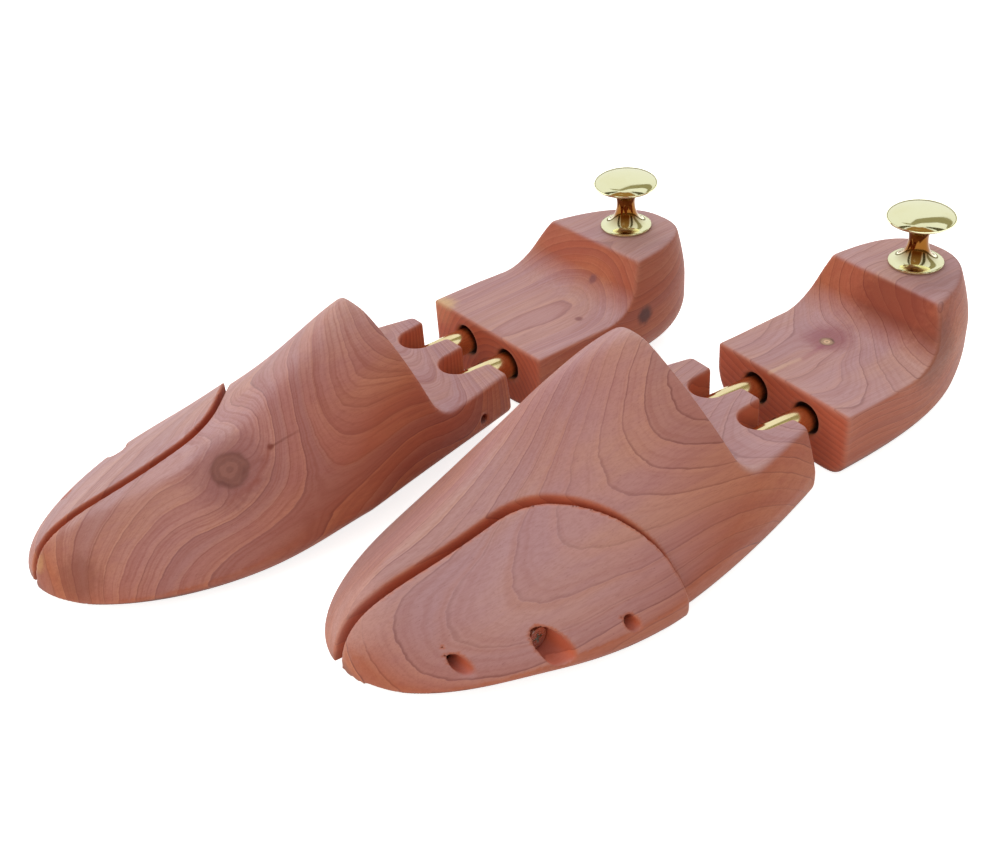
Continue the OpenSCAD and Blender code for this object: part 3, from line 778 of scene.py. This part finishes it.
polished = metal("polished_brass", rgb(232, 232, 192), rgb(224, 218, 162), 0.09, tarnish=0.25,
                 worn=0.25, recess=rgb(130, 84, 34))
tube_brass = metal("tube_brass", rgb(238, 224, 176), rgb(204, 168, 104), 0.13, tarnish=0.35,
                   scratch=(1, 0.06, 1))
steel = metal("steel", rgb(232, 232, 232), rgb(186, 184, 180), 0.24, tarnish=0.2, worn=0.4)
wire = metal("spring_steel", rgb(150, 150, 154), rgb(96, 94, 92), 0.34, tarnish=0.35)

# ---- The wooden pieces ----

# Growth rings: nested shells round a curved pith.  pith_x and pith_z are cubics in
# (y - middle) / 50; bends turn the rings round a knot; pushes move them locally.  A program
# outside this file fitted these numbers to the rings that the photograph shows.
GROWTH = {
    "left_foot": dict(
        pith_x=(30.93, -8.05, -1.56, 1.24), pith_z=(117.85, -4.23, -4.2, -3.03),
        stretch=2.314, middle=-100, first=83.86, width=4.785, outward=-1,
        bends=[],
        pushes=[(32, -175, 10, 0.03), (-13, -101, 51, -0.1), (51, -93, 18, 0.4),
                (9, -116, 34, 0.26), (-6, -71, 66, -0.02), (2, -171, 27, -0.01),
                (22, -64, 47, 0.14), (38, -134, 12, 0.1), (26, -92, 36, -0.33),
                (15, -142, 28, -0.31)]),
    "right_foot": dict(
        pith_x=(-97.91, 36.31, 28.98, 15.99), pith_z=(51.73, 46.53, -12.01, -17.05),
        stretch=0.541, middle=-100, first=121.92, width=5.989, outward=-1,
        bends=[((-20.5, -125, 34.1), (-0.5, -0.15, 0.85), 7.0, -11.53),
               ((-20.5, -125, 34.1), (-0.5, -0.15, 0.85), 15.0, 26.47)],
        pushes=[(8, -186, 16, 0.17), (12, -102, 41, 1.03), (-26, -60, 56, -0.65),
                (15, -33, 27, 0.81), (-14, -103, 50, -0.94), (-17, -180, 9, 0.02),
                (-23, -140, 25, 0.39), (-38, -105, 28, -0.41), (-39, -63, 34, -0.41),
                (-14, -121, 40, 0.31), (-29, -84, 47, 0.74), (-5, -77, 62, 0.39),
                (-11, -161, 25, -0.4), (-41, -80, 29, 0.2)]),
    "left_heel": dict(
        pith_x=(41.87, -16.65, 2.3, 7.25), pith_z=(45.18, 3.11, 29.39, 24.75),
        stretch=0.368, middle=45, first=51.62, width=4.071, outward=-1,
        bends=[((-7.9, 31.4, 27.0), (0.0, 0.0, 1.0), 7.0, 6.6)],
        pushes=[(-26, 55, 45, -1.92), (0, 51, 37, -1.62), (20, 4, 27, 0.04),
                (14, 41, 28, 0.73), (-11, 55, 46, 1.33), (-20, 37, 27, -0.83),
                (15, 16, 27, -0.23), (-20, 49, 34, 2.01), (-31, 46, 31, -0.24),
                (21, 51, 37, -0.08), (13, 28, 27, -0.62), (-10, 49, 34, -0.44),
                (31, 23, 27, 0.13), (3, 43, 29, 0.82)]),
    "right_heel": dict(
        pith_x=(-6.47, 0.84, 0.55, -0.58), pith_z=(-7.67, -2.16, -1.33, 0.76),
        stretch=1.28, middle=45, first=30.55, width=2.613, outward=1,
        bends=[],
        pushes=[(21, 49, 34, -0.75), (-30, 32, 27, -0.82), (-17, 51, 38, -0.59),
                (6, 52, 40, 0.69), (-26, 45, 30, 1.32), (-14, 34, 27, -0.12),
                (0, 42, 28, 0.55), (-5, 52, 39, -0.56), (7, 46, 31, 0.05),
                (-15, 46, 31, 0.38), (-2, 48, 33, -0.79), (-21, 36, 27, -0.31),
                (-25, 51, 37, -0.22), (0, 53, 42, 0.67)]),
}


def ring_numbers(wood, points):
    """How many rings out from the pith each point lies, as a smooth number."""
    x, y, z = points.T
    t = (np.clip(y, -188, 66) - wood["middle"]) / 50
    from_x, from_z = (c - sum(k * t ** i for i, k in enumerate(wood[key]))
                      for c, key in ((x, "pith_x"), (z, "pith_z")))
    radius = np.sqrt(np.square(from_x) * wood["stretch"] + np.square(from_z) / wood["stretch"])
    for centre, way, size, push in wood["bends"]:
        way = np.array(way) / np.linalg.norm(way)
        off = points - centre
        off -= (off @ way)[:, None] * way
        radius += push * np.exp(-np.square(off).sum(1) / (2 * size * size))
    number = wood["outward"] * (radius - wood["first"]) / wood["width"]
    for *centre, push in wood["pushes"]:
        number += push * np.exp(-np.square(points - centre).sum(1) / (2 * PUSH_SPREAD ** 2))
    return number * wood["outward"]


def fade(value, none, full):
    """0 where the value is at none or before it, 1 at full or past it, and straight between."""
    return np.clip((value - none) / (full - none), 0, 1)


def sand_crown(points, tilt, depth, edges, crown):
    """Rounds the form's sharp crown, away from the cuts, and evens out the tilt there."""
    uncut = 1 - 3 * neighbour_mean((depth > 0.25).astype(float), edges, 5)
    even = crown(points) * np.clip(uncut, 0, 1)
    for _ in range(int(CROWN_PASSES / FINE ** 2)):
        points = points + (CROWN_PULL * even)[:, None] * (neighbour_mean(points, edges) - points)
    return points, tilt + even * (neighbour_mean(tilt, edges, 8) - tilt)


def wood_piece(kind, form, cuts, grid, body, woods, crown=None, unlit=None):
    """One wooden piece of both trees, with what its material reads at each point.

    crown: where the form's sharp crown is sanded round; unlit: where a bore's wall is dark
    """
    points, normals, quads, depth = sculpt(form, cuts, *grid)
    edges = edges_of(quads)
    up = normals[:, 2]
    tilt = neighbour_mean(up, edges)
    if crown:
        points, tilt = sand_crown(points, tilt, depth, edges, crown)
    bend = -((neighbour_mean(points, edges) - points) * normals).sum(1)
    arris = fade(bend / FINE ** 2, 0.04, 0.14)
    points = relax(points, edges, 0.3)
    inner = fade(depth, 0.35, 0.85)
    if kind != "toe_wing":
        inner *= fade(up, 0.5, 0.15)
    lift = points[:, 2] - sole_height(np.clip(-points[:, 1], 0, None))
    values = {
        "inner": neighbour_mean(inner, edges, 2),
        "arris": neighbour_mean(arris, edges, 2),
        # up: how far a face turns up, which the material uses to paint lit tops paler and mauve
        "up": fade(tilt, 0.48, 0.93),
        # under: painted shade on faces that turn down, close to the floor
        "under": np.clip(fade(up, 0.25, -0.05) * fade(lift, 2.7, 1.6)
                         + fade(up, -0.1, -0.5) * fade(lift, 7, 4), 0, 1),
        "unlit": unlit(points) if unlit else np.zeros(len(points)),
    }
    for side, wood in woods.items():
        values["rings"] = ring_numbers(GROWTH[wood], points)
        piece = add_mesh(f"{side}_{kind}_wood", points, quads, side, body, kind,
                         CEDAR[wood], values)
        place = piece.data.attributes.new("place", "FLOAT_VECTOR", "POINT")
        place.data.foreach_set("vector", points.astype(np.float32).ravel())


def near_ridge(points):
    """1 on the crown of the forepart, and 0 a little way down its sides."""
    s = np.clip(-points[:, 1], TAB_GAP, TOE_END)
    return (np.exp(-np.square((points[:, 0] - ridge_line(s)) / 8))
            * fade(points[:, 2], SIDE_LEVEL + 4, SIDE_LEVEL + 10))


def in_bore(points):
    """1 in the heel's two bores and in line with them behind, where the back takes it too."""
    away = np.min([np.hypot(points[:, 0] - side * TUBE_PITCH / 2, points[:, 2] - TUBE_Z)
                   for side in (-1, 1)], axis=0)
    return fade(away, BORE_R + 1.0, BORE_R + 0.4) * fade(points[:, 1], 0.3, 2.8)


def steps(low, high, step):
    """Grid places from low to high, about a step apart in the full detail."""
    return np.linspace(low, high, int(round((high - low) / (step * FINE))) + 1)


PURPLE, DARK_KNOT, PALE = rgb(134, 84, 84), rgb(76, 40, 40), rgb(222, 186, 156)
FIGURE = rgb(140, 66, 52)
STAR, FIGURE_BEND = (-24.4, -111.0, 38.6), (-28.0, -119.8, 30.9)   # where the streaks meet
CEDAR = {
    "left_foot": cedar(
        "cedar_left_foot", 3.0, line=1.1, contrast=0.55,
        # The pale mauve patch at the toe is a painted sheen.
        patches=[((4.0, -183.0, 22.0), 17.0, 0.6, rgb(200, 154, 146))]),
    "right_foot": cedar(
        "cedar_right_foot", 11.0, line=0.7, contrast=1.15,
        knots=[((-20.3, -125.3, 34.1), (-0.5, -0.15, 0.85), 6.0,
                rgb(104, 62, 58), rgb(144, 96, 86))],
        patches=[((-20.5, -125, 34.1), 19.0, 0.55, PURPLE),
                 ((4.5, -188.5, 15.5), 5.0, 0.6, rgb(204, 154, 104)),
                 ((-11.0, -181.0, 14.0), 11.0, 0.5, rgb(132, 74, 60)),
                 (STAR, 1.6, 0.65, rgb(96, 46, 40))],
        streaks=[(STAR, (-27.0, -101.1, 41.6), 0.55, 0.55, rgb(104, 48, 42)),
                 (STAR, FIGURE_BEND, 1.5, 0.40, FIGURE),
                 (FIGURE_BEND, (-26.7, -130.2, 26.9), 1.5, 0.35, FIGURE)]),
    "left_heel": cedar(
        "cedar_left_heel", 21.0, line=1.05, contrast=0.6,
        knots=[((-7.4, 31.2, 27.0), (0, 0, 1), 2.7, rgb(62, 32, 34), rgb(226, 194, 156))],
        patches=[((-8.5, 33.4, 27.5), 12.5, 0.6, rgb(142, 80, 92)),
                 # The three patches for upright faces are painted: shade on the cove wall and the
                 # outer side, light on the front face.
                 ((4.0, 53.0, 40.0), 24.0, 0.75, rgb(122, 54, 42), True),
                 ((31.0, 48.0, 34.0), 20.0, 0.6, rgb(116, 60, 46), True),
                 ((14.0, -4.0, 20.0), 26.0, 0.45, rgb(206, 130, 108), True)],
        streaks=[((-6.0, -1.0, 26.6), (-5.4, 14.7, 27.0), 1.2, 0.6, PALE),
                 ((-6.6, 29.0, 27.0), (-4.2, 16.1, 27.0), 1.3, 0.5, rgb(150, 78, 96))]),
    "right_heel": cedar(
        "cedar_right_heel", 31.0, line=0.6, contrast=0.7,
        patches=[((-20.5, 31.6, 27.0), 2.2, 0.8, PURPLE),
                 ((-10.0, 49.0, 34.0), 2.6, 0.85, PURPLE),
                 ((-34.0, 54.9, 24.5), 5.5, 0.9, DARK_KNOT),
                 ((28.0, 0.0, 24.0), 9.0, 0.8, rgb(216, 180, 130)),
                 # The patch for upright faces paints light on the front face.
                 ((-18.0, -4.0, 20.0), 26.0, 0.45, rgb(206, 138, 114), True)]),
}
FEET = {"left": "left_foot", "right": "right_foot"}
HEELS = {"left": "left_heel", "right": "right_heel"}

forepart_ys = np.concatenate([steps(-195, -60, 0.9)[:-1], steps(-60, -44, 0.75)[:-1],
                              steps(-44, -11, 0.6)])
wood_piece("forepart_block", forepart_form, forepart_cuts,
           (steps(-51, 57, 0.8), forepart_ys, steps(-3, 74, 0.8)), "forepart", FEET,
           crown=near_ridge)
wood_piece("toe_wing", wing_form, wing_cuts,
           (steps(2, 61, 0.7), steps(-195, -84, 0.75), steps(-3, 40, 0.7)), "wing", FEET)
wood_piece("heel_block", heel_form, heel_cuts,
           (steps(-45, 37, 0.75), steps(-3, 96, 0.75), steps(-3, 51, 0.75)), "heel", HEELS,
           unlit=in_bore)

# ---- The metal pieces ----


def lathe(profile, turns):
    """Points and faces of a profile of (radius, height) turned about the height axis."""
    points, faces = [], []
    count = len(profile)
    for i in range(turns):
        a = 2 * math.pi * i / turns
        points += [(r * math.cos(a), r * math.sin(a), h) for r, h in profile]
    for i in range(turns):
        j = (i + 1) % turns
        faces += [(i * count + q, j * count + q, j * count + q + 1, i * count + q + 1)
                  for q in range(count - 1)]
    return np.array(points), np.array(faces)


def quarter(count):
    """The angles of a quarter turn in so many steps, without its start."""
    return [math.pi / 2 * i / count for i in range(1, count + 1)]


def knob_outline():
    """The knob from its foot up, as (radius, height) points: foot, stem, cap's underside, cap."""
    rim, foot, waist, neck_h, neck_out, axis_r = KNOB_H - 4.6, 1.25, 10.7, 5, 3, 0.01
    flare = KNOB_FOOT_R - 0.2 - KNOB_WAIST_R
    return ([(axis_r, 0), (KNOB_FOOT_R - 0.4, 0), (KNOB_FOOT_R, 0.35), (KNOB_FOOT_R, 1.0),
             (KNOB_FOOT_R - 0.25, foot)]
            + [(KNOB_WAIST_R + flare * (1 - math.sin(a)), foot + (waist - foot) * (1 - math.cos(a)))
               for a in quarter(24)]
            + [(KNOB_WAIST_R + neck_out * (1 - math.cos(a)), waist + neck_h * math.sin(a))
               for a in quarter(16)]
            + [(KNOB_CAP_R - 1.3, rim - 0.95), (KNOB_CAP_R - 0.5, rim - 0.65),
               (KNOB_CAP_R - 0.1, rim - 0.3), (KNOB_CAP_R, rim)]
            + [(max(KNOB_CAP_R * math.cos(a), axis_r), rim + (KNOB_H - rim) * math.sin(a))
               for a in quarter(24)])


def tube_outline():
    """Around the tube's wall, as (radius, forward) points with softened mouths."""
    inner, soft = TUBE_R - TUBE_WALL, 0.15
    return [(inner, -TUBE_FRONT), (TUBE_R - soft, -TUBE_FRONT), (TUBE_R, -TUBE_FRONT + soft),
            (TUBE_R, TUBE_BACK - soft), (TUBE_R - soft, TUBE_BACK), (inner, TUBE_BACK),
            (inner, -TUBE_FRONT)]


def metal_pieces():
    for side in ("left", "right"):
        points, faces = lathe(knob_outline(), 96)
        high = points[:, 2]
        # The stem's hollow, where the knob gets its painted reflection.
        recess = fade(high, 1.6, 6.1) * fade(high, 17.5, 15)
        add_mesh(f"{side}_knob_turned", points + (KNOB_X, KNOB_Y, HEEL_TOP_H), faces, side, "heel",
                 "knob", polished, {"recess": recess})
        for name, sign in (("inner", -1), ("outer", 1)):
            points, faces = lathe(tube_outline(), 64)
            across, up, forward = points.T
            points = np.stack([sign * TUBE_PITCH / 2 + across, forward, TUBE_Z + up], 1)
            add_mesh(f"{side}_{name}_tube_drawn", points, faces[:, ::-1], side, "tubes",
                     f"{name}_tube", tube_brass, {})


metal_pieces()

for name, node in frame["nodes"].items():
    if node.hide_render:   # a solid that a piece above has replaced
        continue
    finish = tube_brass if "bushing" in name else wire if "spring" in name else steel
    node.data.materials.clear()
    node.data.materials.append(finish)

# ---- Floor, lights and world ----

FLOOR_GLOW = 0.80
SKY, SKY_COLOUR = 0.66, (1.0, 0.94, 0.88, 1)
WHITE = (1, 1, 1, 1)


def seen(tree):
    """1 for the rays that should meet a white background: from the camera, a mirror or glass."""
    path = tree.nodes.new("ShaderNodeLightPath")
    total = path.outputs["Is Camera Ray"]
    for name in ("Is Glossy Ray", "Is Transmission Ray"):
        add = tree.nodes.new("ShaderNodeMath")
        add.operation, add.use_clamp = "ADD", True
        tree.links.new(total, add.inputs[0])
        tree.links.new(path.outputs[name], add.inputs[1])
        total = add.outputs[0]
    return total


def scaled(tree, value, low, high):
    """Low where the value is 0 and high where it is 1."""
    made = tree.nodes.new("ShaderNodeMapRange")
    tree.links.new(value, made.inputs["Value"])
    made.inputs["To Min"].default_value, made.inputs["To Max"].default_value = low, high
    return made.outputs[0]


def floor():
    """White to the rays that see the background, and matt under the object's shadow."""
    far = 6
    mesh = bpy.data.meshes.new("floor")
    mesh.from_pydata([(-far, -far, 0), (far, -far, 0), (far, far, 0), (-far, far, 0)], [],
                     [(0, 1, 2, 3)])
    g = Graph("floor_white")
    g.set(Base_Color=(0.86, 0.86, 0.86, 1), Roughness=0.95, Emission_Color=WHITE,
          Emission_Strength=scaled(g.tree, seen(g.tree), 0.0, FLOOR_GLOW))
    mesh.materials.append(g.material)
    piece = add_object("floor", mesh)
    piece.location.z = -0.0002


def lamp(name, place, size, power, colour, mirrored=True):
    """A soft lamp in watts, turned to the object; mirrored: whether polished metal shows it."""
    data = bpy.data.lights.new(name, "AREA")
    data.shape, data.size, data.size_y = "RECTANGLE", size[0], size[1]
    data.energy, data.color = power, colour
    piece = add_object(name, data)
    piece.location = place
    piece.rotation_euler = (-Vector(place)).to_track_quat("-Z", "Y").to_euler()
    piece.visible_glossy = mirrored


def dark_card(name, points, tone):
    """A strip of card through pairs of points, in a dark tone: only polished metal shows it."""
    mesh = bpy.data.meshes.new(name)
    mesh.from_pydata(points, [], [(i, i + 1, i + 3, i + 2) for i in range(0, len(points) - 2, 2)])
    g = Graph(name)
    g.set(Base_Color=(0, 0, 0, 1), Roughness=1.0, Emission_Color=(*tone, 1),
          Emission_Strength=1.0)
    mesh.materials.append(g.material)
    piece = add_object(name, mesh)
    for ray in ("camera", "diffuse", "transmission", "shadow"):
        setattr(piece, "visible_" + ray, False)


def aloft(heading, height, reach=1.6):
    """A point by its heading and height in degrees, as seen from the object."""
    a, e = math.radians(heading), math.radians(height)
    return (reach * math.cos(e) * math.cos(a), reach * math.cos(e) * math.sin(a),
            reach * math.sin(e))


def cards():
    """The dark surroundings of a studio: the horizon, three flags and a bent beam of grey."""
    dark_card("horizon", [aloft(a, h) for a in range(0, 361, 10) for h in (-0.5, 7)],
              (0.22, 0.18, 0.09))
    for name, left, right, low, high, tone in (
            ("front_card", -94, -2, 8, 78, (0.34, 0.17, 0.04)),
            ("left_flag", -122, -102, 8, 74, (0.10, 0.085, 0.04)),
            ("right_flag", 8, 30, 8, 74, (0.10, 0.085, 0.04))):
        dark_card(name, [aloft(left + (right - left) * i / 6, h)
                         for i in range(7) for h in (low, high)], tone)
    beam = ((45, 4), (38, 18), (74, 20), (60, 36), (98, 38), (82, 56), (128, 60), (112, 75),
            (178, 76), (-150, 84), (-165, 58), (-150, 68))
    dark_card("beam", [aloft(*corner) for corner in beam], (0.34, 0.30, 0.17))


def world():
    """A pale warm sky for the object, and white for the rays that see the background."""
    made = bpy.data.worlds.new("studio")
    bpy.context.scene.world = made
    made.use_nodes = True
    tree = made.node_tree
    background = tree.nodes["Background"]
    white = seen(tree)
    tree.links.new(scaled(tree, white, SKY, 1.0), background.inputs["Strength"])
    shade = tree.nodes.new("ShaderNodeMix")
    shade.data_type = "RGBA"
    tree.links.new(white, shade.inputs["Factor"])
    shade.inputs["A"].default_value, shade.inputs["B"].default_value = SKY_COLOUR, WHITE
    tree.links.new(shade.outputs["Result"], background.inputs["Color"])


floor()
world()
lamp("key", (-1.3, 0.5, 1.3), (2.2, 1.8), 22, (0.84, 0.93, 1.0), mirrored=False)
lamp("fill", (0.2, -1.7, 0.8), (1.6, 1.2), 9, (1.0, 0.95, 0.88), mirrored=False)
lamp("glint", (0.6, -1.1, 1.5), (0.16, 0.16), 0.6, (1.0, 1.0, 1.0))
cards()
